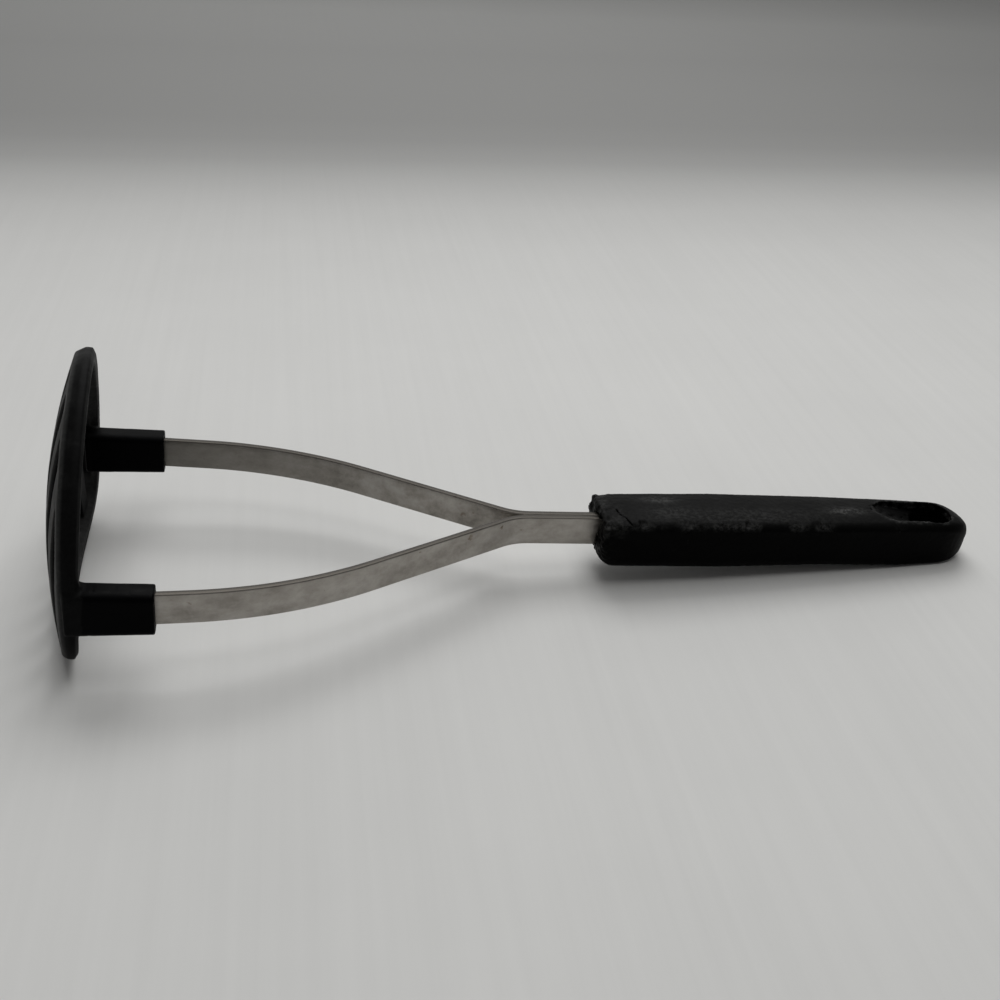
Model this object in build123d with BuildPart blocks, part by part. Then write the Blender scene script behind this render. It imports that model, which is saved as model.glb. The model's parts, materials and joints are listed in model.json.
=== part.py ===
# Potato masher lying at rest: slotted domed head, two flat steel arms and a handle with a hang hole
# The tool is drawn along X with the head at -X, and is turned into its resting pose at the end
import os
from math import atan, cos, degrees, pi, radians, sin, sqrt, tan

from build123d import *

os.makedirs("parts", exist_ok=True)

# Clearances
strap_clearance = 0.15
tang_clearance = 0.1
tang_lead = 2.0
seam_gap = 0.04

# Strap stock and its path
strap_width = 9.5
strap_thickness = 2.0
strap_edge_round = 0.35
tang_length = 68.0
bend_radius = 3.0
spread_angle = 28.7
straight_length = 50.5
bow_radius = 119.0
toe_in_angle = 3.95
strap_reach = 119.0

# Head outline, seen square to its face
head_reach = 121.7
head_shift = -2.46
head_half_width = 46.8
widest_height = 0.7
top_reach = 48.9
bottom_reach = 26.6
top_power = 1.8
bottom_power = 3.4
outline_points = 40
head_turn = 3.74
head_lean = 6.64

# Head plate
rim_depth = 5.0
across_arch = 4.6
upward_arch = 2.9
face_rise = 2.1
dome_sweep = 20.0
plate_thickness = 3.2
ring_width = 4.4
slot_count = 7
slot_pitch = 12.4
slot_width = 6.3

# Sockets on the back of the head
socket_spacing = 82.4
socket_width = 7.6
socket_height = 13.4
socket_corner = 2.2
near_mouth = 103.1
far_mouth = 107.4
near_socket_length = 22.4
far_socket_length = 23.6

# Handle
handle_front = 25.0
handle_length = 128.2
handle_width = 20.8
handle_height = 18.0
handle_drop = 0.6
handle_turn = 1.0
handle_top_corner = 2.6
handle_bottom_corner = 6.0
nose_round = 6.6
station_shares = (0.0, 0.30, 0.60, 0.80, 0.95, 1.0)
width_shares = (0.96, 1.0, 0.94, 0.86, 0.78, 0.75)
height_shares = (0.97, 1.0, 0.96, 0.91, 0.85, 0.83)

# Hang hole and the scoop that leads into it
hole_radius = 6.2
hole_setback = 13.6
scoop_radius = 5.4
scoop_slope = 17.0
scoop_run = 22.0

# Rounds of settling the tool on the table
settling_steps = 3

# Derived sizes
hole_station = handle_length - hole_setback
strap_offset = (strap_thickness + seam_gap) / 2
bow_sweep = spread_angle - toe_in_angle
bow_start = bend_radius * sin(radians(spread_angle)) + straight_length * cos(radians(spread_angle))
bow_run = bow_radius * (sin(radians(spread_angle)) - sin(radians(toe_in_angle)))
socket_run = strap_reach - bow_start - bow_run
toe_length = socket_run / cos(radians(toe_in_angle))
pocket_height = strap_width + 2 * strap_clearance
pocket_width = strap_thickness + 2 * strap_clearance
tang_pocket_width = 2 * strap_thickness + seam_gap + 2 * tang_clearance
tang_pocket_height = strap_width + 2 * tang_clearance
tang_pocket_depth = tang_length - handle_front + tang_clearance
outline_height = top_reach + bottom_reach
outline_middle = widest_height + (top_reach - bottom_reach) / 2
back_apex = across_arch + upward_arch
face_apex = rim_depth + back_apex + face_rise
plate_apex = face_apex - plate_thickness
head_drop = bottom_reach - widest_height
tail_drop = handle_height * height_shares[3] / 2 + handle_drop
contact_span = head_reach + handle_front + handle_length * station_shares[3]
rest_tilt = degrees(atan((head_drop - tail_drop) / contact_span))

# Head plane: on the rim's back, its normal points forward, away from the handle
turn_slope = tan(radians(head_turn))
lean_slope = tan(radians(head_lean))
face_plane = Plane(origin=(-head_reach, 0, 0), x_dir=(turn_slope, -1, 0), z_dir=(-1, -turn_slope, lean_slope))
head_plane = Plane(face_plane.location * Location((head_shift, 0, 0)))
dome_origin = head_plane.from_local_coords(Vector(0, outline_middle, 0))
dome_plane = Plane(dome_origin, x_dir=head_plane.y_dir, z_dir=head_plane.x_dir)

# Handle plane: on the handle's front face, its normal points to the tail
turn_cos = cos(radians(handle_turn))
turn_sin = sin(radians(handle_turn))
handle_plane = Plane(
    origin=(handle_front, 0, -handle_drop), x_dir=(-turn_sin, turn_cos, 0), z_dir=(turn_cos, turn_sin, 0)
)
handle_plan = Plane(handle_plane.origin, x_dir=handle_plane.z_dir, z_dir=(0, 0, 1))
handle_side = Plane(handle_plane.origin, x_dir=handle_plane.z_dir, z_dir=-handle_plane.x_dir)
nose_start = handle_length - nose_round
nose_width = handle_width * width_shares[4]
nose_height = handle_height * height_shares[4]

# Scoop plane: above the grip's top, its normal runs down into the hang hole
scoop_length = scoop_run / cos(radians(scoop_slope))
scoop_lift = handle_height * height_shares[3] / 2 + scoop_radius / cos(radians(scoop_slope))
scoop_start = handle_plan.location * Location((hole_station - scoop_run, 0, scoop_lift))
scoop_plane = Plane(scoop_start * Rotation(0, 90 + scoop_slope, 0))


def oval_points(inset):
    # Points of the head's outline, pulled in by the inset: a tall oval above, flatter below
    points = []
    for step in range(outline_points):
        angle = 2 * pi * step / outline_points
        reach = top_reach if sin(angle) > 0 else bottom_reach
        power = top_power if sin(angle) > 0 else bottom_power
        across = abs(cos(angle)) ** (2 / power)
        upward = abs(sin(angle)) ** (2 / power)
        x = (head_half_width - inset) * across * (1 if cos(angle) > 0 else -1)
        y = (reach - inset) * upward * (1 if sin(angle) > 0 else -1)
        points.append((x, widest_height + y))
    return points


def strap_path(side, toe_extra):
    # Centreline of one strap: tang, bend out of the neck, straight, bow back in, toe
    tang = Line((tang_length, side * strap_offset), (0, side * strap_offset))
    bend = JernArc(tang @ 1, tang % 1, bend_radius, -side * spread_angle)
    shank = Line(bend @ 1, bend @ 1 + straight_length * (bend % 1))
    bow = JernArc(shank @ 1, shank % 1, bow_radius, side * bow_sweep)
    Line(bow @ 1, bow @ 1 + (toe_length + toe_extra) * (bow % 1))


def strap_edges(strap):
    # The long edges of a strap, top and bottom
    return strap.edges().group_by(Axis.Z)[0] + strap.edges().group_by(Axis.Z)[-1]


def dome_body(apex, across_rise, upward_rise):
    # Body under a domed surface with that apex, which falls by each rise at the outline's sides and ends
    across_radius = (head_half_width ** 2 + across_rise ** 2) / (2 * across_rise)
    upward_radius = ((outline_height / 2) ** 2 + upward_rise ** 2) / (2 * upward_rise)
    edge = apex - upward_radius + sqrt(upward_radius ** 2 - outline_height ** 2)
    base = -across_radius / 4
    low_end, low_edge = (-outline_height, base), (-outline_height, edge)
    high_end, high_edge = (outline_height, base), (outline_height, edge)
    hinge_point = dome_plane.from_local_coords(Vector(0, apex - across_radius, 0))
    with BuildPart(mode=Mode.PRIVATE) as dome:
        for sweep in (dome_sweep, -dome_sweep):
            with BuildSketch(dome_plane):
                with BuildLine():
                    ThreePointArc(low_edge, (0, apex), high_edge)
                    Polyline(high_edge, high_end, low_end, low_edge)
                make_face()
            revolve(axis=Axis(hinge_point, dome_plane.x_dir), revolution_arc=sweep)
    return dome.part


# Near arm
with BuildPart() as near_arm:
    with BuildSketch(Plane.XY.offset(-strap_width / 2)):
        with BuildLine():
            strap_path(-1, 0)
        trace(line_width=strap_thickness)
    extrude(amount=strap_width)
    fillet(strap_edges(near_arm), strap_edge_round)

# Far arm, the mirror of the near one
with BuildPart() as far_arm:
    with BuildSketch(Plane.XY.offset(-strap_width / 2)):
        with BuildLine():
            strap_path(1, 0)
        trace(line_width=strap_thickness)
    extrude(amount=strap_width)
    fillet(strap_edges(far_arm), strap_edge_round)

# Space that is hollowed out behind the domed plate, as deep as the plate is thick
with BuildPart() as dish:
    with BuildSketch(head_plane):
        with BuildLine():
            Spline(*oval_points(ring_width), periodic=True)
        make_face()
    extrude(amount=face_apex)
    add(dome_body(plate_apex, across_arch + face_rise, upward_arch + face_rise), mode=Mode.INTERSECT)

# Head: domed plate in its rim, slotted, with two sockets on its back
with BuildPart() as masher_head:
    with BuildSketch(head_plane):
        with BuildLine():
            Spline(*oval_points(0), periodic=True)
        make_face()
    extrude(amount=face_apex)
    add(dome_body(face_apex, across_arch + face_rise, upward_arch + face_rise), mode=Mode.INTERSECT)
    add(dome_body(back_apex, across_arch, upward_arch), mode=Mode.SUBTRACT)
    add(dish.part, mode=Mode.SUBTRACT)
    with BuildSketch(head_plane):
        with GridLocations(slot_pitch, 0, slot_count, 1):
            Rectangle(slot_width, 2 * outline_height)
        with BuildLine():
            Spline(*oval_points(ring_width), periodic=True)
        make_face(mode=Mode.INTERSECT)
    extrude(amount=face_apex, mode=Mode.SUBTRACT)
    for side, mouth, length in ((-1, near_mouth, near_socket_length), (1, far_mouth, far_socket_length)):
        with BuildSketch(Plane.YZ.offset(-mouth)):
            with Locations((side * socket_spacing / 2, 0)):
                RectangleRounded(socket_width, socket_height, socket_corner)
        extrude(amount=-length)
    for side in (1, -1):
        with BuildSketch(Plane.XY.offset(-pocket_height / 2)):
            with BuildLine():
                strap_path(side, strap_clearance)
            trace(line_width=pocket_width)
        extrude(amount=pocket_height, mode=Mode.SUBTRACT)

# Handle: tapered grip with a pocket for the tangs and a scooped hang hole
with BuildPart() as handle:
    for station, wide, high in zip(station_shares, width_shares, height_shares):
        with BuildSketch(handle_plane.offset(handle_length * station)) as section:
            Rectangle(handle_width * wide, handle_height * high)
            fillet(section.vertices().group_by(Axis.Y)[-1], handle_top_corner * high)
            fillet(section.vertices().group_by(Axis.Y)[0], handle_bottom_corner * high)
    loft()
    for plane, tail in ((handle_plan, nose_width), (handle_side, nose_height)):
        with BuildSketch(plane) as nose:
            Rectangle(handle_length, tail, align=(Align.MIN, Align.CENTER))
            fillet(nose.vertices().group_by(Axis.X)[-1], nose_round)
            Rectangle(nose_start, 2 * handle_width, align=(Align.MIN, Align.CENTER))
        extrude(amount=handle_width, both=True, mode=Mode.INTERSECT)
    with BuildSketch(Plane.YZ.offset(handle_front - tang_lead)):
        Rectangle(tang_pocket_width, tang_pocket_height)
    extrude(amount=tang_lead + tang_pocket_depth, mode=Mode.SUBTRACT)
    with BuildSketch(handle_plan):
        with Locations((hole_station, 0)):
            Circle(hole_radius)
    extrude(amount=handle_height, both=True, mode=Mode.SUBTRACT)
    with BuildSketch(scoop_plane):
        Circle(scoop_radius)
    extrude(amount=scoop_length, mode=Mode.SUBTRACT)

# Tilt at which the head's rim and the handle's tail both touch the table
tilt = rest_tilt
for step in range(settling_steps):
    turn = Rot(0, tilt, 0)
    head_base = (turn * masher_head.part).bounding_box().min.Z
    tail_base = (turn * handle.part).bounding_box().min.Z
    tilt = tilt - degrees((head_base - tail_base) / contact_span)

# Turn the tool into its resting pose, with its base on Z=0 under the centre of its box
pieces = (masher_head, near_arm, far_arm, handle)
turn = Rot(0, tilt, 0)
box = Compound([turn * piece.part for piece in pieces]).bounding_box()
rest = Pos(-box.center().X, -box.center().Y, -box.min.Z) * turn
for piece in pieces:
    piece.part.location = rest * piece.part.location

masher_head.part.label = "masher_head"
near_arm.part.label = "near_arm"
far_arm.part.label = "far_arm"
handle.part.label = "handle"
export_step(masher_head.part, "parts/masher_head.step")
export_step(near_arm.part, "parts/near_arm.step")
export_step(far_arm.part, "parts/far_arm.step")
export_step(handle.part, "parts/handle.step")
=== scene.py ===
import json
from math import cos, pi, radians, sin, tan

import bpy
import numpy as np
from mathutils import Matrix, Vector


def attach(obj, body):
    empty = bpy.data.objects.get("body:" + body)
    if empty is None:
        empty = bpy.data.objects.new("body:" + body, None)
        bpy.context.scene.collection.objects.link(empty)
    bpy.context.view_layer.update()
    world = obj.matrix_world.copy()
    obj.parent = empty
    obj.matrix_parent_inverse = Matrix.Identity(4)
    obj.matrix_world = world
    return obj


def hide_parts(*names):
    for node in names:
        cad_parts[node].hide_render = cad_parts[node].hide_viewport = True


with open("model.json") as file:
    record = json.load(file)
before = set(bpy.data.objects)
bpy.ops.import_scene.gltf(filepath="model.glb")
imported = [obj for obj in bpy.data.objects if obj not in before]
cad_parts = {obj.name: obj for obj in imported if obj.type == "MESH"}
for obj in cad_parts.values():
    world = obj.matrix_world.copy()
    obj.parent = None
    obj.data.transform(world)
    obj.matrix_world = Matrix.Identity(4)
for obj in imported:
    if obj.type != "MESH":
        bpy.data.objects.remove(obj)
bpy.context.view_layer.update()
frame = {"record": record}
mounts = {mount["name"]: mount for mount in frame["record"]["mounts"]}

MM = 0.001

# Straps, in millimetres
STRAP_WIDTH = 9.5
STRAP_THICKNESS = 2.0
STRAP_ROUND = 0.35
SEAM_GAP = 0.04
TANG_LENGTH = 68.0
BEND_RADIUS = 3.0
BEND_EASE = 4.0
SPREAD = radians(28.7)
STRAIGHT = 50.5
BOW_RADIUS = 119.0
TOE_IN = radians(3.95)
STRAP_REACH = 119.0
RING_SPACING = 1.2
FEWEST_RINGS = 6
TOE_RINGS = 12
CORNER_STEPS = 3
FLAT_SHARES = (0.4, 0.8, 1.2, 1.6)

# Head
HEAD_REACH = 121.7
HEAD_SHIFT = -2.46
HEAD_TURN = radians(3.74)
HEAD_LEAN = radians(6.64)
HALF_WIDTH = 46.8
WIDEST = 0.7
TOP_REACH = 48.9
BOTTOM_REACH = 26.6
TOP_POWER = 1.8
BOTTOM_POWER = 3.4
RIM_DEPTH = 5.0
ACROSS_ARCH = 4.6
UPWARD_ARCH = 2.9
FACE_RISE = 2.1
PLATE = 3.2
RING = 4.4
SLOT_COUNT = 7
SLOT_PITCH = 12.4
SLOT_WIDTH = 6.3
SOCKET_SPACING = 82.4
SOCKET_WIDTH = 7.6
SOCKET_HEIGHT = 13.4
SOCKET_CORNER = 2.0
# Side, mouth and length of each socket
SOCKETS = ((-1, 103.1, 22.4), (1, 107.4, 23.6))
ARCH_MIDDLE = WIDEST + (TOP_REACH - BOTTOM_REACH) / 2
ARCH_HALF = (TOP_REACH + BOTTOM_REACH) / 2
BACK_APEX = ACROSS_ARCH + UPWARD_ARCH
FACE_APEX = RIM_DEPTH + BACK_APEX + FACE_RISE

# Edges and fits of the head
FACE_EDGE = 0.5
BEVEL_EDGE = 0.3
FRONT_BEVEL_HEIGHT = 2.9
BACK_BEVEL_HEIGHT = 1.2
DISH_CORNER = 0.8
DISH_EDGE = 0.4
SLOT_CORNER = 1.2
SLOT_EDGE = 0.6
SOCKET_SLIM = 0.05
SOCKET_DRAFT = 0.3
MOUTH_EDGE = 0.45
POCKET_EDGE = 0.3
OUTER_FILLET = 0.3
INNER_FILLET = 2.4
FILLET_MARGIN = 0.6
FILLET_RUN = 2.5
SOCKET_FIT = 0.12
SOCKET_DEPTH_FIT = 0.2
# Directions of the two bevels, outward and upward, the face's steepness and the sockets' draft
FRONT_BEVEL_SHARES = (0.826, 0.563)
BACK_BEVEL_SHARES = (0.565, -0.826)
FACE_SLOPE_SHARE = 0.97
DRAFT_SHARE = 0.02

# Handle
HANDLE_FRONT = 25.0
HANDLE_LENGTH = 128.2
HANDLE_WIDTH = 20.8
HANDLE_HEIGHT = 18.0
HANDLE_DROP = 0.6
HANDLE_TURN = radians(1.0)
STATION_SHARES = (0.0, 0.30, 0.60, 0.80, 0.95, 1.0)
WIDTH_SHARES = (0.96, 1.0, 0.94, 0.86, 0.78, 0.75)
HEIGHT_SHARES = (0.97, 1.0, 0.96, 0.91, 0.85, 0.83)
SCOOP_STATION = 3
HOLE_RADIUS = 6.2
HOLE_SETBACK = 13.6
HOLE_STATION = HANDLE_LENGTH - HOLE_SETBACK
MOUNT_DROP = 3.0
SCOOP_RADIUS = 5.4
SCOOP_SLOPE = radians(17.0)
SCOOP_RUN = 22.0

# Rounding of the handle and its thumb dish
TAIL_ROUND = 12.0
TAIL_POWER = 2.3
TAIL_END_SHARE = 0.999
TAIL_WIDTH_SHARE = 0.12
TAIL_HEIGHT_SHARE = 0.25
TAIL_EDGE = 1.5
CROWN = 1.0
TOP_CORNER = 2.3
BOTTOM_CORNERS = (4.4, 1.4)
CORNER_SHARES = (0.6, 0.8)
FRONT_EDGES = (1.0, 5.4)
FRONT_DEPTHS = (0.0, 5.5)
TANG_FIT = 0.3
TANG_EDGE = 0.5
DISH_RUN = 14.5
DISH_RADIUS = 5.7
DISH_STEP = 0.9
DISH_SLOPE_SHARE = 0.2
DISH_JOIN = 0.6
HOLE_JOIN = 1.0
HOLE_EDGE = 0.35

# Noise on the meshes: size of its features, seed and octaves
HEAD_RIPPLE = (6.0, 11, 2)
HEAD_SCUFFS = (2.2, 17, 2)
HANDLE_RIPPLE = (5.0, 23, 2)
HANDLE_GRAIN = (1.1, 29, 2)
STRAP_RIPPLES = {-1: (14.0, 30, 1), 1: (14.0, 32, 1)}
FRAY = (1.3, 41, 3)
CHEWING = (2.6, 47, 2)
CRACK_WANDER = (1.6, 53, 1)
NICK_RUNS = (9.0, 61, 2)
NICKS = (1.6, 67, 2)
HEAD_RUBBING = (7.0, 71, 3)
FRONT_WHITENING = (2.2, 73, 3)
LIP_WHITENING = (1.8, 79, 2)

# Depths of that noise, in millimetres
HEAD_RIPPLE_DEPTH = 0.05
SCUFF_DEPTH = 0.35
SCUFF_LEVEL = 0.45
HANDLE_RIPPLE_DEPTH = 0.05
GRAIN_DEPTH = 0.06
FRONT_GRAIN_DEPTH = 0.22
STRAP_RIPPLE_DEPTH = 0.04

# Chewed front end, crack and nicks of the handle
CHEW_LENGTH = 6.5
CHEW_DEPTH = 0.75
CHEW_LEVEL = 0.35
CHEW_SWING = 0.9
CHEW_FOOT = -1.0
CHEW_RISE = 3.0
FRAY_LENGTH = 3.0
FRAY_DEPTH = 0.35
HOLE_FRAY_DEPTH = 0.7
FRAYED_ABOVE = 3.0
GRAIN_LENGTH = 6.0
CRACK_STATION = 6.9
CRACK_ACROSS = -6.0
CRACK_SLANT = 0.5
CRACK_SWING = 0.5
CRACK_WIDTH = 0.22
CRACK_CENTRE = -5.5
CRACK_HALF = 4.0
CRACK_DEPTH = 1.6
CRACK_EDGE = 0.2
NICK_INSET = 0.5
NICK_DROP = 1.2
NICK_STRETCH = 0.4
NICK_LEVEL = 0.12
NICK_DEPTH = 3.2
NICK_REACH = 2.6
NICK_END = 108.0
RUN_LEVEL = 0.15
RUN_STEEPNESS = 2.5

# Surface nets: steps for quick and full meshes, margins and the last pull onto the surface
HEAD_STEPS = (0.8, 0.45)
HANDLE_STEPS = (0.7, 0.35)
NET_MARGIN = 2.0
WIDE_MARGIN = 3.0
SOCKET_ROOM = 24.0
PROBE = 0.05
PULLS = 3
PULL_SHARE = 0.5
LEAST_STEEPNESS = 0.2
TINY = 1e-9

# The tool's own frame, found from the hang hole's mount: X along the tool, Z out of the arms' plane
tool_up = Vector(mounts["hang_hole"]["axis"]).normalized()
tool_along = Vector((tool_up.z, 0, -tool_up.x))
tool_across = Vector((0, 1, 0))
hole_in_tool = Vector(
    (
        HANDLE_FRONT + HOLE_STATION * cos(HANDLE_TURN),
        HOLE_STATION * sin(HANDLE_TURN),
        -HANDLE_DROP - MOUNT_DROP,
    )
)
tool_turn = Matrix((tool_along, tool_across, tool_up)).transposed()
tool_origin = Vector(mounts["hang_hole"]["pos_m"]) - tool_turn @ hole_in_tool * MM


def frame_rows(x_axis, y_axis, z_axis, origin):
    # Rotation and origin as arrays, from local millimetres to the tool's millimetres
    turn = np.array([x_axis, y_axis, z_axis], float)
    turn /= np.linalg.norm(turn, axis=1)[:, None]
    return turn.T, np.array(origin, float)


# Head frame: x towards the near side, y up, z out of the domed face
face = Vector((-1, -tan(HEAD_TURN), tan(HEAD_LEAN))).normalized()
face_x = Vector((tan(HEAD_TURN), -1, 0)).normalized()
face_y = face.cross(face_x)
HEAD = frame_rows(face_x, face_y, face, Vector((-HEAD_REACH, 0, 0)) + HEAD_SHIFT * face_x)

# Handle frame: x along the grip from its front, y across, z up
HANDLE = frame_rows(
    (cos(HANDLE_TURN), sin(HANDLE_TURN), 0),
    (-sin(HANDLE_TURN), cos(HANDLE_TURN), 0),
    (0, 0, 1),
    (HANDLE_FRONT, 0, -HANDLE_DROP),
)


def to_tool(points, local):
    return points @ local[0].T + local[1]


def to_world(points):
    turn = np.array(tool_turn)
    return points @ turn.T * MM + np.array(tool_origin)


# Noise and soft blends for the implicit shapes
def lattice(ix, iy, iz, seed):
    # Repeatable number from 0 to 1 for each lattice point
    h = (ix * 374761393 + iy * 668265263 + iz * 1274126177 + seed * 974634777) & 0xFFFFFFFF
    h = ((h ^ (h >> 13)) * 1103515245) & 0xFFFFFFFF
    return ((h ^ (h >> 16)) & 0xFFFF) / 65535.0


def noise(x, y, z, size, seed, octaves):
    # Smooth noise from -1 to 1, with features of about that size
    total = 0.0
    weight = 1.0
    reach = 0.0
    for octave in range(octaves):
        px, py, pz = x / size, y / size, z / size
        ix, iy, iz = (np.floor(p).astype(np.int64) for p in (px, py, pz))
        fx, fy, fz = px - ix, py - iy, pz - iz
        fx, fy, fz = (f * f * (3 - 2 * f) for f in (fx, fy, fz))
        value = 0.0
        for dx in (0, 1):
            for dy in (0, 1):
                for dz in (0, 1):
                    share = (fx if dx else 1 - fx) * (fy if dy else 1 - fy) * (fz if dz else 1 - fz)
                    value = value + share * lattice(ix + dx, iy + dy, iz + dz, seed + octave)
        total = total + weight * (2 * value - 1)
        reach += weight
        weight /= 2
        size = size / 2
    return total / reach


def ramp(value):
    # The value held between 0 and 1
    return np.clip(value, 0, 1)


def join(a, b, radius):
    # Union with a fillet of that radius
    h = np.maximum(radius - np.abs(a - b), 0) / radius
    return np.minimum(a, b) - h * h * radius / 4


def carve(a, b, radius):
    # a with b cut away, its new edges eased by that radius
    h = np.maximum(radius - np.abs(a + b), 0) / radius
    return np.maximum(a, -b) + h * h * radius / 4


def overlap(a, b, radius):
    # What a and b share, with its edge rounded to that radius
    u, v = np.maximum(a + radius, 0), np.maximum(b + radius, 0)
    return np.minimum(-radius, np.maximum(a, b)) + np.sqrt(u * u + v * v)


def window(axis, low, high):
    # Index that takes a stretch of one axis and the whole of the others
    cut = [slice(None)] * 3
    cut[axis] = slice(low, high)
    return tuple(cut)


def pull_onto(points, field, step):
    # The points moved along the field's slope onto its zero level
    probes = PROBE * np.eye(3)
    for _ in range(PULLS):
        here = field(*points.T)
        rises = [field(*(points + probe).T) - field(*(points - probe).T) for probe in probes]
        slope = np.stack(rises, 1) / (2 * PROBE)
        steep = np.maximum((slope * slope).sum(1), LEAST_STEEPNESS)
        move = -(here / steep)[:, None] * slope
        length = np.linalg.norm(move, axis=1)[:, None]
        points = points + move * np.minimum(1, PULL_SHARE * step / np.maximum(length, TINY))
    return points


def surface_net(field, low, high, step):
    # Closed quad mesh on the field's zero level
    axes = [np.arange(low[i], high[i] + step, step) for i in range(3)]
    grid = np.meshgrid(*axes, indexing="ij")
    value = field(*grid)
    size = [n - 1 for n in value.shape]
    total = np.zeros((*size, 3))
    count = np.zeros(size)
    crossings = []
    for axis in range(3):
        first = window(axis, 0, -1)
        a, b = value[first], value[window(axis, 1, None)]
        crossed = (a < 0) != (b < 0)
        part = np.where(crossed, a / np.where(crossed, a - b, 1), 0)
        others = [i for i in range(3) if i != axis]
        place = [np.where(crossed, grid[i][first], 0) for i in range(3)]
        place[axis] = place[axis] + part * step
        for i in (0, 1):
            for j in (0, 1):
                cut = [slice(None)] * 3
                cut[others[0]] = slice(i, i + size[others[0]])
                cut[others[1]] = slice(j, j + size[others[1]])
                cut = tuple(cut)
                count += crossed[cut]
                for k in range(3):
                    total[..., k] += place[k][cut]
        crossings.append((axis, others, crossed, a < 0))
    used = count > 0
    points = total[used] / count[used][:, None]
    index = np.full(size, -1, np.int64)
    index[used] = np.arange(len(points))
    faces = []
    for axis, others, crossed, inside in crossings:
        where = np.argwhere(crossed)
        for i in others:
            where = where[(where[:, i] > 0) & (where[:, i] < size[i])]
        corner = []
        for i, j in ((1, 1), (0, 1), (0, 0), (1, 0)):
            cell = where.copy()
            cell[:, others[0]] -= i
            cell[:, others[1]] -= j
            corner.append(index[cell[:, 0], cell[:, 1], cell[:, 2]])
        quad = np.stack(corner, 1)
        outward = inside[where[:, 0], where[:, 1], where[:, 2]] != (axis == 1)
        quad[~outward] = quad[~outward][:, ::-1]
        faces.append(quad)
    return pull_onto(points, field, step), np.concatenate(faces)


def add_piece(name, mesh, node, material):
    # The mesh as a smooth piece of the scene that stands for one node of the solids
    mesh.polygons.foreach_set("use_smooth", [True] * len(mesh.polygons))
    mesh.materials.append(material)
    piece = bpy.data.objects.new(name, mesh)
    bpy.context.scene.collection.objects.link(piece)
    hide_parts(node)
    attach(piece, "root")


def add_moulding(name, points, faces, wear_and_sheen, node, material):
    # A piece from a surface net, with its wear and painted sheen kept on its points
    mesh = bpy.data.meshes.new(name)
    mesh.from_pydata(points.tolist(), [], faces.tolist())
    layer = mesh.attributes.new("wear_and_sheen", "FLOAT", "POINT")
    layer.data.foreach_set("value", ramp(wear_and_sheen).astype(np.float32))
    add_piece(name, mesh, node, material)


# Strap centreline in the tool's plane
def strap_line(side):
    # Points along the strap's middle, and the heading at each
    runs = (
        (TANG_LENGTH - BEND_EASE, 0.0),
        ((BEND_RADIUS + BEND_EASE / tan(SPREAD / 2)) * SPREAD, SPREAD),
        (STRAIGHT - BEND_EASE, 0.0),
        (BOW_RADIUS * (SPREAD - TOE_IN), TOE_IN - SPREAD),
    )
    x, y, heading = TANG_LENGTH, (STRAP_THICKNESS + SEAM_GAP) / 2, 0.0
    points = [(x, y, heading)]
    for length, turn in runs:
        count = max(FEWEST_RINGS, int(length / RING_SPACING))
        for _ in range(count):
            middle = heading + turn / count / 2
            x -= length / count * cos(middle)
            y += length / count * sin(middle)
            heading += turn / count
            points.append((x, y, heading))
    toe = (x + STRAP_REACH) / cos(heading)
    for _ in range(TOE_RINGS):
        x -= toe / TOE_RINGS * cos(heading)
        y += toe / TOE_RINGS * sin(heading)
        points.append((x, y, heading))
    return [(px, side * py, side * ph) for px, py, ph in points]


TOE_START = strap_line(1)[-TOE_RINGS - 1]


def toe_distance(x, y):
    # Signed distance from the far strap's middle plane, inside its socket
    dx, dy = x - TOE_START[0], y - TOE_START[1]
    return dy * cos(TOE_IN) + dx * sin(TOE_IN)


# Head
def outline_distance(x, y):
    # Distance outside the head's outline, a tall oval above and a flatter one below
    reach = np.where(y > WIDEST, TOP_REACH, BOTTOM_REACH)
    power = np.where(y > WIDEST, TOP_POWER, BOTTOM_POWER)
    u, v = np.abs(x) / HALF_WIDTH, np.abs(y - WIDEST) / reach
    rho = np.maximum(u**power + v**power, TINY) ** (1 / power)
    gu = (u / rho) ** (power - 1) / HALF_WIDTH
    gv = (v / rho) ** (power - 1) / reach
    return (rho - 1) / np.sqrt(gu * gu + gv * gv + TINY)


def arch(x, y, apex, rise):
    # Height of an arched surface over the head's plane
    across, upward = ACROSS_ARCH + rise, UPWARD_ARCH + rise
    return apex - across * (x / HALF_WIDTH) ** 2 - upward * ((y - ARCH_MIDDLE) / ARCH_HALF) ** 2


def bevel(edge, height, shares, start):
    # Plane that slants between the rim's wall and its front or back
    return shares[0] * edge + shares[1] * (height - start)


def socket_pocket(px, py, pz):
    # Room for either strap's end, in the tool's frame
    beside = np.abs(toe_distance(px, np.abs(py))) - STRAP_THICKNESS / 2 - SOCKET_FIT
    pocket = np.maximum(beside, np.abs(pz) - STRAP_WIDTH / 2 - SOCKET_FIT)
    return np.maximum(pocket, -px - STRAP_REACH - SOCKET_DEPTH_FIT)


def add_sockets(body, px, py, pz):
    # The two posts that hold the straps' ends, filleted into the rim but not past their outer faces
    for side, mouth, length in SOCKETS:
        beside = np.abs(py - side * SOCKET_SPACING / 2) - SOCKET_WIDTH / 2 + SOCKET_SLIM
        above = np.abs(pz) - SOCKET_HEIGHT / 2 + SOCKET_DRAFT + DRAFT_SHARE * (px + mouth)
        post = overlap(beside, above, SOCKET_CORNER)
        post = overlap(post, np.maximum(px + mouth, -px - mouth - length), MOUTH_EDGE)
        inward = SOCKET_SPACING / 2 + SOCKET_WIDTH / 2 - FILLET_MARGIN - side * py
        body = join(body, post, OUTER_FILLET + (INNER_FILLET - OUTER_FILLET) * ramp(inward / FILLET_RUN))
    return body


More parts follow.
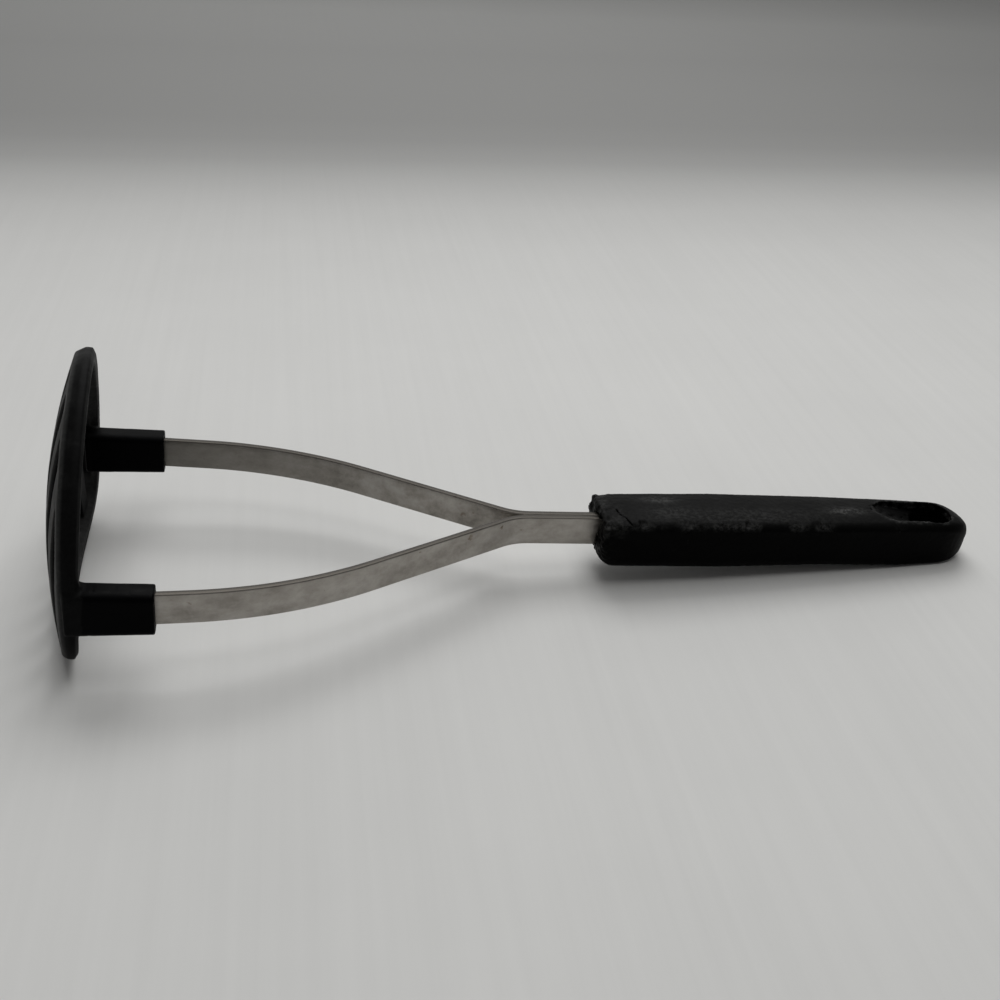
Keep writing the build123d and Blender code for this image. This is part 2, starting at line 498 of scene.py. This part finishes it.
def head_field(x, y, z):
    edge = outline_distance(x, y)
    height = z - arch(x, y, BACK_APEX, 0.0)
    front = (z - arch(x, y, FACE_APEX, FACE_RISE)) * FACE_SLOPE_SHARE
    rim = overlap(edge, front, FACE_EDGE)
    rim = overlap(rim, bevel(edge, height, FRONT_BEVEL_SHARES, FRONT_BEVEL_HEIGHT), BEVEL_EDGE)
    rim = overlap(rim, bevel(edge, height, BACK_BEVEL_SHARES, BACK_BEVEL_HEIGHT), BEVEL_EDGE)
    rim = overlap(rim, -height, BEVEL_EDGE)
    inner = edge + RING
    dish = overlap(inner, z - arch(x, y, FACE_APEX - PLATE, FACE_RISE), DISH_CORNER)
    body = carve(rim, dish, DISH_EDGE)
    outermost = (SLOT_COUNT - 1) / 2
    nearest = np.clip(np.round(x / SLOT_PITCH), -outermost, outermost) * SLOT_PITCH
    slot = overlap(np.abs(x - nearest) - SLOT_WIDTH / 2, inner, SLOT_CORNER)
    body = carve(body, slot, SLOT_EDGE)
    turn, origin = HEAD
    px, py, pz = (turn[i, 0] * x + turn[i, 1] * y + turn[i, 2] * z + origin[i] for i in range(3))
    body = add_sockets(body, px, py, pz)
    body = carve(body, socket_pocket(px, py, pz), POCKET_EDGE)
    scuff = np.maximum(noise(x, y, z, *HEAD_SCUFFS) - SCUFF_LEVEL, 0)
    return body + HEAD_RIPPLE_DEPTH * noise(x, y, z, *HEAD_RIPPLE) + SCUFF_DEPTH * scuff


# Wear of the head, with its painted sheen and light: where they lie in millimetres, and how strong they are
RUB_LINE = 0.8
RUB_REACH = 1.2
RUB_STEEPNESS = 2.0
RUB_LEVEL = 0.1
RUB_WEAR = 0.18
# Painted sheen on the domed face: its strength, and how deep below the dome's top it reaches
DOME_SHEEN = 0.9
DOME_SHEEN_DEPTH = 1.0
# Painted light on the far rim's inner face: its strength and reach
FAR_WALL_LIGHT = 0.6
FAR_WALL_LIGHT_REACH = 1.6
# Painted sheen along the rim's outer band: its strength and width
RING_SHEEN = 0.10
RING_SHEEN_WIDTH = 4.0
# How far below the rim's back the painted light and sheen still reach
PAINTED_LIGHT_BACK = 0.5


def head_wear_and_sheen(x, y, z):
    # Faint rubbing along the rim's edges; painted sheen on the dome and along the rim's band, and painted
    # light on the far rim's inner face
    edge = outline_distance(x, y)
    rubbed = ramp(1 - np.abs(edge + RUB_LINE) / RUB_REACH)
    rubbed = rubbed * ramp(noise(x, y, z, *HEAD_RUBBING) * RUB_STEEPNESS - RUB_LEVEL)
    # Painted sheen: the domed face is lightened evenly over its top millimetre
    dome_sheen = ramp(z - arch(x, y, FACE_APEX - DOME_SHEEN_DEPTH, FACE_RISE))
    far = to_tool(np.stack([x, y, z], 1), HEAD)[:, 1] > 0
    # Painted light on the far rim's inner face, and painted sheen along the rim's outer band, both kept off
    # the rim's back
    rim_light = FAR_WALL_LIGHT * ramp(FAR_WALL_LIGHT_REACH - np.abs(edge + RING)) * far + RING_SHEEN * (edge > -RING_SHEEN_WIDTH)
    rim_light = rim_light * (z > arch(x, y, BACK_APEX, 0.0) - PAINTED_LIGHT_BACK)
    return RUB_WEAR * rubbed + DOME_SHEEN * dome_sheen + rim_light


def build_head(material):
    step = HEAD_STEPS[1]
    low = (-HALF_WIDTH - NET_MARGIN, WIDEST - BOTTOM_REACH - NET_MARGIN, -SOCKET_ROOM)
    high = (HALF_WIDTH + WIDE_MARGIN, WIDEST + TOP_REACH + NET_MARGIN, FACE_APEX + NET_MARGIN)
    points, faces = surface_net(head_field, low, high, step)
    wear_and_sheen = head_wear_and_sheen(*points.T)
    placed = to_world(to_tool(points, HEAD))
    add_moulding("head_moulding", placed, faces, wear_and_sheen, "masher_head", material)


# Handle
def hole_and_dish(s, a, b):
    # The hang hole, the sloping scoop before it and the thumb dish with its stepped edge
    hole = np.hypot(s - HOLE_STATION, a) - HOLE_RADIUS
    top = HANDLE_HEIGHT * HEIGHT_SHARES[SCOOP_STATION] / 2
    lift = top + SCOOP_RADIUS / cos(SCOOP_SLOPE)
    drop = (s - HOLE_STATION + SCOOP_RUN) * tan(SCOOP_SLOPE)
    scoop = np.hypot(a, (b - lift + drop) * cos(SCOOP_SLOPE)) - SCOOP_RADIUS
    scoop = np.maximum(scoop, s - HOLE_STATION)
    start = HOLE_STATION - DISH_RUN
    floor = top - DISH_STEP - DISH_SLOPE_SHARE * np.maximum(s - start + DISH_RADIUS, 0)
    dish = np.maximum(dish_outline(s, a), floor - b)
    return join(hole, join(scoop, dish, DISH_JOIN), HOLE_JOIN)


def dish_outline(s, a):
    # Distance outside the dish's outline, a slot with round ends
    nearest = np.clip(s, HOLE_STATION - DISH_RUN, HOLE_STATION)
    return np.hypot(s - nearest, a) - DISH_RADIUS


def handle_crack(s, a, b, half_height):
    # The slanting crack behind the chewed flap
    wander = CRACK_SWING * noise(s, a, b, *CRACK_WANDER)
    line = np.abs(s - CRACK_STATION + CRACK_SLANT * (a - CRACK_ACROSS) + wander)
    crack = np.maximum(line - CRACK_WIDTH, np.abs(a - CRACK_CENTRE) - CRACK_HALF)
    return np.maximum(crack, half_height - CRACK_DEPTH - b)


def handle_nicks(s, a, b, half_width, half_height):
    # Depth of the nicks along the near upper edge
    rim = np.hypot(a + half_width - NICK_INSET, b - half_height + NICK_DROP)
    runs = ramp((noise(s, 0 * s, 0 * s, *NICK_RUNS) + RUN_LEVEL) * RUN_STEEPNESS)
    nick = np.maximum(noise(s, a * NICK_STRETCH, b * NICK_STRETCH, *NICKS) - NICK_LEVEL, 0) * runs
    return NICK_DEPTH * nick * ramp(1 - rim / NICK_REACH) * (s < NICK_END)


def handle_field(s, a, b):
    share = ramp(s / HANDLE_LENGTH)
    half_width = HANDLE_WIDTH / 2 * np.interp(share, STATION_SHARES, WIDTH_SHARES)
    half_height = HANDLE_HEIGHT / 2 * np.interp(share, STATION_SHARES, HEIGHT_SHARES)
    end = np.clip((s - HANDLE_LENGTH + TAIL_ROUND) / TAIL_ROUND, 0, TAIL_END_SHARE)
    shrink = np.sqrt(1 - end**TAIL_POWER)
    half_width = half_width * (TAIL_WIDTH_SHARE + (1 - TAIL_WIDTH_SHARE) * shrink)
    half_height = half_height * (TAIL_HEIGHT_SHARE + (1 - TAIL_HEIGHT_SHARE) * shrink)
    crown = np.where(b > 0, b + CROWN * (a / half_width) ** 2, b)
    corner = np.where(b > 0, TOP_CORNER, np.interp(share, CORNER_SHARES, BOTTOM_CORNERS))
    body = overlap(np.abs(a) - half_width, np.abs(crown) - half_height, corner)
    body = overlap(body, s - HANDLE_LENGTH, TAIL_EDGE)
    body = overlap(body, -s, np.interp(-b, FRONT_DEPTHS, FRONT_EDGES))
    beside = np.abs(a) - STRAP_THICKNESS - TANG_FIT
    pocket = np.maximum(beside, np.abs(b - HANDLE_DROP) - STRAP_WIDTH / 2 - TANG_FIT)
    pocket = np.maximum(pocket, s - (TANG_LENGTH - HANDLE_FRONT) - TANG_FIT)
    body = carve(body, pocket, TANG_EDGE)
    fray = noise(s, a, b, *FRAY)
    opening = hole_and_dish(s, a, b) - HOLE_FRAY_DEPTH * np.maximum(fray, 0) * (b > FRAYED_ABOVE)
    body = carve(body, opening, HOLE_EDGE)
    # Chewed front end
    upper = ramp((b - CHEW_FOOT) / CHEW_RISE)
    chew = np.maximum(CHEW_LEVEL + CHEW_SWING * noise(s, a, b, *CHEWING), 0) * ramp(1 - s / CHEW_LENGTH)
    body = body + CHEW_DEPTH * chew * upper + FRAY_DEPTH * ramp(1 - s / FRAY_LENGTH) * fray
    body = carve(body, handle_crack(s, a, b, half_height), CRACK_EDGE)
    body = body + handle_nicks(s, a, b, half_width, half_height)
    grain = GRAIN_DEPTH + FRONT_GRAIN_DEPTH * ramp(1 - s / GRAIN_LENGTH)
    return body + HANDLE_RIPPLE_DEPTH * noise(s, a, b, *HANDLE_RIPPLE) + grain * noise(s, a, b, *HANDLE_GRAIN)


# Wear of the handle. Rubbed patches: station, place across, length, width and strength
RUBBED = (
    (20.5, 4.0, 5.5, 2.2, 0.9),
    (83.0, -1.5, 6.0, 2.0, 1.15),
    (50.0, -3.0, 22.0, 2.5, 0.3),
    (22.0, -3.0, 9.0, 3.0, 0.35),
    (45.0, -6.5, 30.0, 2.0, 0.3),
)
RUBBED_ABOVE = 4.0
RUBBED_WEAR = 0.8
FRONT_WEAR = 0.45
FRONT_WEAR_LENGTH = 8.0
FRONT_WEAR_LEVEL = 0.5
FRONT_WEAR_ABOVE = 3.5
FRONT_FACE_SHARE = 0.12
EDGE_WEAR = 0.55
EDGE_WEAR_INSET = 0.8
EDGE_WEAR_DROP = 1.6
EDGE_WEAR_REACH = 1.8
EDGE_WEAR_END = 110.0
EDGE_RUN_LEVEL = 0.5
LIP_WEAR = 0.7
LIP_OFFSET = 0.5
LIP_REACH = 1.3
LIP_ABOVE = 5.0
LIP_STEEPNESS = 2.0
LIP_LEVEL = 0.5
TAIL_WEAR = 0.12
TAIL_WEAR_LENGTH = 5.0
TAIL_WEAR_ABOVE = -2.0


def handle_wear(s, a, b):
    # Rubbed patches on top, the chewed front end, the near upper edge, the dish's lip and the tail
    patches = 0 * s
    for station, across, length, width, strength in RUBBED:
        spread = ((s - station) / length) ** 2 + ((a - across) / width) ** 2
        patches = patches + strength * np.exp(-spread) * (b > RUBBED_ABOVE)
    front = ramp(1 - s / FRONT_WEAR_LENGTH) * ramp(FRONT_WEAR_LEVEL + noise(s, a, b, *FRONT_WHITENING))
    front = front * (FRONT_FACE_SHARE + (1 - FRONT_FACE_SHARE) * (b > FRONT_WEAR_ABOVE))
    runs = ramp(noise(s, 0 * s, 0 * s, *NICK_RUNS) * RUN_STEEPNESS + EDGE_RUN_LEVEL)
    away = np.hypot(a + HANDLE_WIDTH / 2 - EDGE_WEAR_INSET, b - HANDLE_HEIGHT / 2 + EDGE_WEAR_DROP)
    edge = ramp(1 - away / EDGE_WEAR_REACH) * runs * (s < EDGE_WEAR_END)
    lip = ramp(1 - np.abs(dish_outline(s, a) - LIP_OFFSET) / LIP_REACH)
    lip = lip * (b > LIP_ABOVE) * (s > HOLE_STATION - SCOOP_RUN)
    lip = lip * ramp(noise(s, a, b, *LIP_WHITENING) * LIP_STEEPNESS + LIP_LEVEL)
    tail = ramp((s - HANDLE_LENGTH + TAIL_WEAR_LENGTH) / TAIL_WEAR_LENGTH) * (b > TAIL_WEAR_ABOVE)
    total = RUBBED_WEAR * patches + FRONT_WEAR * front + EDGE_WEAR * edge
    return total + LIP_WEAR * lip + TAIL_WEAR * tail


def build_handle(material):
    step = HANDLE_STEPS[1]
    low = (-WIDE_MARGIN, -HANDLE_WIDTH / 2 - NET_MARGIN, -HANDLE_HEIGHT / 2 - NET_MARGIN)
    high = (HANDLE_LENGTH + NET_MARGIN, HANDLE_WIDTH / 2 + NET_MARGIN, HANDLE_HEIGHT / 2 + NET_MARGIN)
    points, faces = surface_net(handle_field, low, high, step)
    wear_and_sheen = handle_wear(*points.T)
    placed = to_world(to_tool(points, HANDLE))
    add_moulding("handle_grip", placed, faces, wear_and_sheen, "handle", material)


# Straps
def strap_section():
    # Outline of the strap's rounded section, across its thickness and up its width
    half_t, half_w = STRAP_THICKNESS / 2 - STRAP_ROUND, STRAP_WIDTH / 2 - STRAP_ROUND
    outline = []
    for quarter, (sx, sy) in enumerate(((1, 1), (-1, 1), (-1, -1), (1, -1))):
        for step in range(CORNER_STEPS + 1):
            angle = pi / 2 * (quarter + step / CORNER_STEPS)
            outline.append((sx * half_t + STRAP_ROUND * cos(angle), sy * half_w + STRAP_ROUND * sin(angle)))
        if sx != sy:
            outline += [(sx * STRAP_THICKNESS / 2, sy * half_w * (1 - share)) for share in FLAT_SHARES]
    return outline


def build_strap(name, node, side, material):
    # The section swept along the strap's middle line, with closed ends
    section = strap_section()
    count = len(section)
    rings = []
    for x, y, heading in strap_line(side):
        rings.append([(x + t * sin(heading), y + t * cos(heading), w) for t, w in section])
    points = np.array(rings, float).reshape(-1, 3)
    faces = []
    for i in range(len(rings) - 1):
        for j in range(count):
            k = (j + 1) % count
            faces.append((i * count + j, i * count + k, (i + 1) * count + k, (i + 1) * count + j))
    last = (len(rings) - 1) * count
    faces.append(tuple(range(count))[::-1])
    faces.append(tuple(last + j for j in range(count)))
    points[:, 1] += STRAP_RIPPLE_DEPTH * noise(*points.T, *STRAP_RIPPLES[side])
    mesh = bpy.data.meshes.new(name)
    mesh.from_pydata(to_world(points).tolist(), [], faces)
    mesh.validate()
    mesh.update()
    add_piece(name, mesh, node, material)


# Material helpers
def grey(value):
    return (value, value, value)


def new_material(name):
    material = bpy.data.materials.new(name)
    material.use_nodes = True
    tree = material.node_tree
    return material, tree, tree.nodes["Principled BSDF"]


def noise_node(tree, vector, scale, detail, roughness):
    node = tree.nodes.new("ShaderNodeTexNoise")
    node.inputs["Scale"].default_value = scale
    node.inputs["Detail"].default_value = detail
    node.inputs["Roughness"].default_value = roughness
    tree.links.new(vector, node.inputs["Vector"])
    return node


def ramp_node(tree, source, stops):
    # Colours at the stops' places
    node = tree.nodes.new("ShaderNodeValToRGB")
    node.color_ramp.elements[0].position = stops[0][0]
    node.color_ramp.elements[0].color = (*stops[0][1], 1)
    node.color_ramp.elements[1].position = stops[-1][0]
    node.color_ramp.elements[1].color = (*stops[-1][1], 1)
    for place, colour in stops[1:-1]:
        element = node.color_ramp.elements.new(place)
        element.color = (*colour, 1)
    tree.links.new(source, node.inputs["Fac"])
    return node.outputs["Color"]


def grey_ramp(tree, source, stops):
    return ramp_node(tree, source, [(place, grey(value)) for place, value in stops])


def mix_node(tree, share, first, second):
    # The first colour, turned into the second as the share grows
    node = tree.nodes.new("ShaderNodeMix")
    node.data_type = "RGBA"
    tree.links.new(share, node.inputs["Factor"])
    tree.links.new(first, node.inputs["A"])
    if isinstance(second, tuple):
        node.inputs["B"].default_value = (*second, 1)
    else:
        tree.links.new(second, node.inputs["B"])
    return node.outputs["Result"]


def stretched(tree, place, scale):
    node = tree.nodes.new("ShaderNodeMapping")
    node.inputs["Scale"].default_value = scale
    tree.links.new(place, node.inputs["Vector"])
    return node.outputs["Vector"]


def object_place(tree):
    return tree.nodes.new("ShaderNodeTexCoord").outputs["Object"]


def part_of(tree, vector, axis):
    # One coordinate of a vector
    node = tree.nodes.new("ShaderNodeSeparateXYZ")
    tree.links.new(vector, node.inputs["Vector"])
    return node.outputs[axis]


def upward_share(tree, stops):
    # Ramp by how far the surface faces upwards
    normal = tree.nodes.new("ShaderNodeNewGeometry").outputs["Normal"]
    return grey_ramp(tree, part_of(tree, normal, "Z"), stops)


def range_node(tree, source, low, high):
    # The source from low to high as a number from 0 to 1
    node = tree.nodes.new("ShaderNodeMapRange")
    node.inputs["From Min"].default_value = low
    node.inputs["From Max"].default_value = high
    tree.links.new(source, node.inputs["Value"])
    return node.outputs["Result"]


def bump_node(tree, height, shader, strength, distance):
    node = tree.nodes.new("ShaderNodeBump")
    node.inputs["Strength"].default_value = strength
    node.inputs["Distance"].default_value = distance
    tree.links.new(height, node.inputs["Height"])
    tree.links.new(node.outputs["Normal"], shader.inputs["Normal"])


def brighter(colour, factor):
    return tuple(factor * channel for channel in colour)


# Looks of the plastics. Each noise: scale, detail and roughness. Each ramp: places and values
CLOUD_NOISE = (60.0, 6.0, 0.6)
CLOUD_PLACES = (0.35, 0.75)
# Painted top light: ramp by how far a face points upwards
TOP_LIGHT_STOPS = ((0.25, 0.0), (0.9, 0.75))
PATCH_NOISE = (55.0, 9.0, 0.75)
PATCH_STOPS = ((0.56, 0.0), (0.74, 0.6))
PATCH_LIFT = 1.8
SPECK_NOISE = (900.0, 2.0, 0.5)
SPECK_STOPS = ((0.70, 0.0), (0.78, 0.8))
SPECK_LIFT = 2.2
CRUMB_NOISE = (900.0, 9.0, 0.75)
CRUMB_STRETCH = (0.8, 1.0, 1.0)
CRUMB_PLACES = (0.44, 0.58)
# Colour of whitened plastic, also used for the head's painted sheen and light
WORN_AND_SHEEN_COLOUR = (0.088, 0.088, 0.086)
SMEAR_NOISE = (160.0, 6.0, 0.7)
SMEAR_STRETCH = (0.35, 1.0, 1.0)
SMEAR_PLACES = (0.3, 0.7)
GRAIN_LOOK = (3.0, 0.6)
SCRATCH_NOISE = (1400.0, 3.0, 0.6)
SCRATCH_STRETCH = (0.12, 1.0, 1.0)
SCRATCH_STOPS = ((0.30, 0.0), (0.42, 1.0))
SCRATCH_LEVEL = grey(0.55)
PLASTIC_SPECULAR = 0.03
PLASTIC_BUMP = (0.35, 0.00012)


def plastic(name, base, light, dust_and_top_light, roughness, grain, wear_values):
    material, tree, shader = new_material(name)
    place = object_place(tree)
    cloud = noise_node(tree, place, *CLOUD_NOISE).outputs["Fac"]
    colour = ramp_node(tree, cloud, list(zip(CLOUD_PLACES, (base, light))))
    # Painted top light: faces that point upwards are painted lighter, towards the dust colour, and only they
    # carry the rubbed patches; pale dust specks lie everywhere
    top_light = upward_share(tree, TOP_LIGHT_STOPS)
    colour = mix_node(tree, top_light, colour, dust_and_top_light)
    patch = noise_node(tree, place, *PATCH_NOISE).outputs["Fac"]
    worn = mix_node(tree, grey_ramp(tree, patch, PATCH_STOPS), colour, brighter(dust_and_top_light, PATCH_LIFT))
    colour = mix_node(tree, top_light, colour, worn)
    speck = noise_node(tree, place, *SPECK_NOISE).outputs["Fac"]
    colour = mix_node(tree, grey_ramp(tree, speck, SPECK_STOPS), colour, brighter(dust_and_top_light, SPECK_LIFT))
    # Whitened plastic where the mesh says it is cut, chewed or rubbed, and on the head also painted sheen and
    # light
    wear_and_sheen = tree.nodes.new("ShaderNodeAttribute")
    wear_and_sheen.attribute_name = "wear_and_sheen"
    crumb = noise_node(tree, stretched(tree, place, CRUMB_STRETCH), *CRUMB_NOISE).outputs["Fac"]
    share = tree.nodes.new("ShaderNodeMath")
    share.operation = "MULTIPLY"
    tree.links.new(wear_and_sheen.outputs["Fac"], share.inputs[0])
    tree.links.new(grey_ramp(tree, crumb, list(zip(CRUMB_PLACES, wear_values))), share.inputs[1])
    colour = mix_node(tree, share.outputs["Value"], colour, WORN_AND_SHEEN_COLOUR)
    tree.links.new(colour, shader.inputs["Base Color"])
    smear = noise_node(tree, stretched(tree, place, SMEAR_STRETCH), *SMEAR_NOISE).outputs["Fac"]
    tree.links.new(grey_ramp(tree, smear, list(zip(SMEAR_PLACES, roughness))), shader.inputs["Roughness"])
    shader.inputs["Specular IOR Level"].default_value = PLASTIC_SPECULAR
    # Moulding grain and fine lengthwise scratches
    fine = noise_node(tree, place, grain, *GRAIN_LOOK).outputs["Fac"]
    scratch = noise_node(tree, stretched(tree, place, SCRATCH_STRETCH), *SCRATCH_NOISE).outputs["Fac"]
    height = mix_node(tree, grey_ramp(tree, scratch, SCRATCH_STOPS), fine, SCRATCH_LEVEL)
    bump_node(tree, height, shader, *PLASTIC_BUMP)
    return material


# Looks of the steel
STAIN_NOISE = (130.0, 8.0, 0.7)
STAIN_STRETCH = (0.6, 1.0, 1.0)
STAIN_PLACES = (0.34, 0.50, 0.68)
MARK_NOISE = (62.0, 2.0, 0.5)
MARK_DISTORTION = 0.35
MARK_STOPS = ((0.50, 0.0), (0.545, 0.10), (0.56, 0.03), (0.62, 0.10), (0.72, 0.0))
MARK_LIFT = 1.25
RUST_NOISE = (210.0, 3.0, 0.6)
RUST_STOPS = ((0.69, 0.0), (0.76, 0.85))
RUST_COLOUR = (0.13, 0.085, 0.05)
# Painted shade towards the head: where along X it ramps in, and its colour
HEAD_SHADE_REACH = (-0.11, 0.0)
HEAD_SHADE_COLOUR = (0.10, 0.095, 0.085)
# Painted shade on faces that point upwards: ramp by the normal's height, and its colour
UPPER_EDGE_SHADE_STOPS = ((0.45, 0.0), (0.8, 0.95))
UPPER_EDGE_SHADE_COLOUR = (0.040, 0.036, 0.031)
STEEL_ROUGHNESS = ((0.3, 0.30), (0.7, 0.48))
BRUSH_NOISE = (2600.0, 3.0, 0.6)
BRUSH_STRETCH = (0.05, 1.0, 1.0)
STEEL_BUMP = (0.3, 0.00005)


def steel(name, squeeze, tones, head_shade):
    material, tree, shader = new_material(name)
    place = stretched(tree, object_place(tree), (1.0, squeeze, 1.0))
    shader.inputs["Metallic"].default_value = 1.0
    stain = noise_node(tree, stretched(tree, place, STAIN_STRETCH), *STAIN_NOISE).outputs["Fac"]
    colour = ramp_node(tree, stain, list(zip(STAIN_PLACES, tones)))
    # Dried water marks with paler outlines
    marks = noise_node(tree, place, *MARK_NOISE)
    marks.inputs["Distortion"].default_value = MARK_DISTORTION
    line = grey_ramp(tree, marks.outputs["Fac"], MARK_STOPS)
    colour = mix_node(tree, line, colour, brighter(tones[-1], MARK_LIFT))
    # Brown spots
    spots = noise_node(tree, place, *RUST_NOISE).outputs["Fac"]
    colour = mix_node(tree, grey_ramp(tree, spots, RUST_STOPS), colour, RUST_COLOUR)
    # Painted shade: darker towards the head, much more on the far strap than on the near one
    reach = range_node(tree, part_of(tree, object_place(tree), "X"), *HEAD_SHADE_REACH)
    colour = mix_node(tree, grey_ramp(tree, reach, ((0.0, head_shade), (1.0, 0.0))), colour, HEAD_SHADE_COLOUR)
    # Painted shade: faces that point upwards, the narrow upper edge, are painted dark
    colour = mix_node(tree, upward_share(tree, UPPER_EDGE_SHADE_STOPS), colour, UPPER_EDGE_SHADE_COLOUR)
    tree.links.new(colour, shader.inputs["Base Color"])
    tree.links.new(grey_ramp(tree, stain, STEEL_ROUGHNESS), shader.inputs["Roughness"])
    brush = noise_node(tree, stretched(tree, place, BRUSH_STRETCH), *BRUSH_NOISE).outputs["Fac"]
    bump_node(tree, brush, shader, *STEEL_BUMP)
    return material


# The four materials
# Each plastic's dust colour also paints the top light on faces that point upwards
nylon = plastic(
    "black_nylon",
    base=(0.0004, 0.0004, 0.0006),
    light=(0.0010, 0.0010, 0.0013),
    dust_and_top_light=(0.0010, 0.0010, 0.0012),
    roughness=(0.42, 0.58),
    grain=3000.0,
    wear_values=(0.45, 0.62),
)
grip_plastic = plastic(
    "black_grip_plastic",
    base=(0.0003, 0.0003, 0.0003),
    light=(0.0008, 0.0008, 0.0008),
    dust_and_top_light=(0.0046, 0.0046, 0.0045),
    roughness=(0.38, 0.55),
    grain=2600.0,
    wear_values=(0.12, 0.85),
)
# The far strap carries strong painted shade towards the head, the near one almost none
near_steel = steel(
    "near_strap_steel",
    squeeze=1.0,
    tones=((0.25, 0.232, 0.208), (0.365, 0.342, 0.312), (0.49, 0.465, 0.435)),
    head_shade=0.05,
)
far_steel = steel(
    "far_strap_steel",
    squeeze=1.35,
    tones=((0.19, 0.175, 0.157), (0.35, 0.328, 0.298), (0.52, 0.495, 0.465)),
    head_shade=0.74,
)

build_head(nylon)
build_handle(grip_plastic)
build_strap("near_strap", "near_arm", -1, near_steel)
build_strap("far_strap", "far_arm", 1, far_steel)


# Table, in metres. Its painted shade: the tone at distances behind the tool, standing in for the light
# falling off towards the back
BACKDROP_SHADE = (
    (0.0, 1.0),
    (0.12, 0.98),
    (0.212, 0.935),
    (0.290, 0.86),
    (0.354, 0.75),
    (0.410, 0.60),
    (0.453, 0.465),
    (0.500, 0.39),
    (0.553, 0.365),
    (0.612, 0.37),
    (0.793, 0.405),
    (1.0, 0.51),
)
TABLE_REACH = 6.0
TABLE_COLOUR = (0.66, 0.65868, 0.6435)
TABLE_ROUGHNESS = 0.8
STREAK_NOISE = (240.0, 3.0, 0.6)
STREAK_STRETCH = (1.0, 0.02, 1.0)
STREAK_STOPS = ((0.3, 0.0), (0.7, 0.045))
STREAK_COLOUR = (0.22, 0.22, 0.21)
MOTTLE_NOISE = (14.0, 4.0, 0.6)
MOTTLE_STOPS = ((0.3, 0.0), (0.7, 0.05))
MOTTLE_COLOUR = (0.25, 0.25, 0.245)


def table_material():
    # Painted shade: the sheet's tone falls off towards the back, standing in for the light's fall-off, with
    # faint upright streaks
    material, tree, shader = new_material("pale_table")
    place = object_place(tree)
    depth = range_node(tree, part_of(tree, place, "Y"), 0.0, 1.0)
    colour = ramp_node(tree, depth, [(where, brighter(TABLE_COLOUR, tone)) for where, tone in BACKDROP_SHADE])
    streak = noise_node(tree, stretched(tree, place, STREAK_STRETCH), *STREAK_NOISE).outputs["Fac"]
    colour = mix_node(tree, grey_ramp(tree, streak, STREAK_STOPS), colour, STREAK_COLOUR)
    mottle = noise_node(tree, place, *MOTTLE_NOISE).outputs["Fac"]
    colour = mix_node(tree, grey_ramp(tree, mottle, MOTTLE_STOPS), colour, MOTTLE_COLOUR)
    tree.links.new(colour, shader.inputs["Base Color"])
    shader.inputs["Roughness"].default_value = TABLE_ROUGHNESS
    return material


def build_table():
    mesh = bpy.data.meshes.new("table")
    corners = [(x * TABLE_REACH, y * TABLE_REACH, 0) for x, y in ((-1, -1), (1, -1), (1, 1), (-1, 1))]
    mesh.from_pydata(corners, [], [(0, 1, 2, 3)])
    mesh.materials.append(table_material())
    table = bpy.data.objects.new("table", mesh)
    bpy.context.scene.collection.objects.link(table)


# Lamps, in metres and watts: each one's place from the point they aim at, and its power
LAMP_AIM = Vector((-0.02, 0.0, 0.02))
LAMP_WIDTH = 0.92
LAMP_DEPTH = 0.66
LAMPS = (
    ("lamp_behind", Vector((0.10, 0.68, 1.02)), 6.85),
    ("lamp_front", Vector((0.10, 0.0, 1.12)), 4.6),
)


def area_lamp(name, offset, watts):
    data = bpy.data.lights.new(name, "AREA")
    data.shape = "RECTANGLE"
    data.size = LAMP_WIDTH
    data.size_y = LAMP_DEPTH
    data.energy = watts
    lamp = bpy.data.objects.new(name, data)
    lamp.location = LAMP_AIM + offset
    lamp.rotation_euler = (-offset).to_track_quat("-Z", "Y").to_euler()
    bpy.context.scene.collection.objects.link(lamp)


# The room is lighter behind the table than on the camera's side
ROOM_STOPS = ((0.0, grey(0.15)), (0.5, grey(0.18)), (0.85, (1.0, 1.0, 0.99)))
ROOM_STRENGTH = 0.80


def build_room():
    world = bpy.data.worlds.new("room")
    bpy.context.scene.world = world
    world.use_nodes = True
    tree = world.node_tree
    toward = part_of(tree, tree.nodes.new("ShaderNodeTexCoord").outputs["Generated"], "Y")
    background = tree.nodes["Background"]
    tree.links.new(ramp_node(tree, toward, ROOM_STOPS), background.inputs["Color"])
    background.inputs["Strength"].default_value = ROOM_STRENGTH


# Camera at the photograph's place, worked out from the straps' edges, in the tool's frame
CAMERA_IN_TOOL = np.array((-75.232, -288.558, 189.491))
VIEW_RIGHT = Vector((0.979929, -0.158915, 0.120353))
VIEW_UP = Vector((-0.017743, 0.531814, 0.846675))
VIEW_AHEAD = Vector((0.198555, 0.831817, -0.518320))
LENS = 41.4
SENSOR = 36.0
CLIP_START = 0.01


def build_camera():
    data = bpy.data.cameras.new("camera")
    data.lens = LENS
    data.sensor_width = SENSOR
    data.clip_start = CLIP_START
    camera = bpy.data.objects.new("camera", data)
    turn = Matrix((tool_turn @ VIEW_RIGHT, tool_turn @ VIEW_UP, tool_turn @ -VIEW_AHEAD)).transposed()
    place = Vector(to_world(CAMERA_IN_TOOL[None])[0])
    camera.matrix_world = Matrix.Translation(place) @ turn.to_4x4()
    bpy.context.scene.collection.objects.link(camera)
    return camera


build_table()
for lamp_name, lamp_offset, lamp_watts in LAMPS:
    area_lamp(lamp_name, lamp_offset, lamp_watts)
build_room()
bpy.context.scene.camera = build_camera()
bpy.context.scene.view_settings.view_transform = "Standard"
